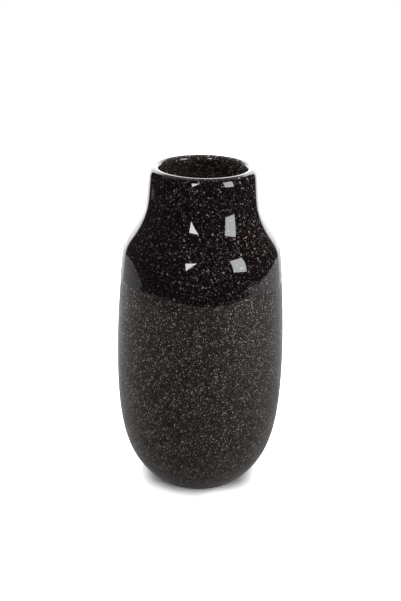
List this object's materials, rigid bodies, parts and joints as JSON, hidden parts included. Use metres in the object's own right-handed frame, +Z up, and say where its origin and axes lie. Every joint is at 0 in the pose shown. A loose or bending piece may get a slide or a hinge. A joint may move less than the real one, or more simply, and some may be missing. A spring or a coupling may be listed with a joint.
{
  "type": "bottle vase",
  "caption": "Round-bodied stoneware bottle vase with a short neck, a glossy dipped top, a dry speckled matt body and a bare foot ring.",
  "frame": {"origin": "middle of the foot ring, on the plane that the vase stands on", "axes": "+Z up the axis of the vase, from the foot to the mouth; the picture looks along +Y"},
  "size_m": [0.1258, 0.1258, 0.25],
  "materials": {
    "clay": "bare fired stoneware, dry",
    "matt_glaze": "dry matt glaze, grainy, with fine pale specks",
    "gloss_glaze": "glossy black glaze with scattered pale specks"
  },
  "bodies": {
    "root": {"clay_body": "clay", "matt_glaze": "matt_glaze", "gloss_glaze": "gloss_glaze", "liner_glaze": "gloss_glaze"}
  },
  "joints": []
}
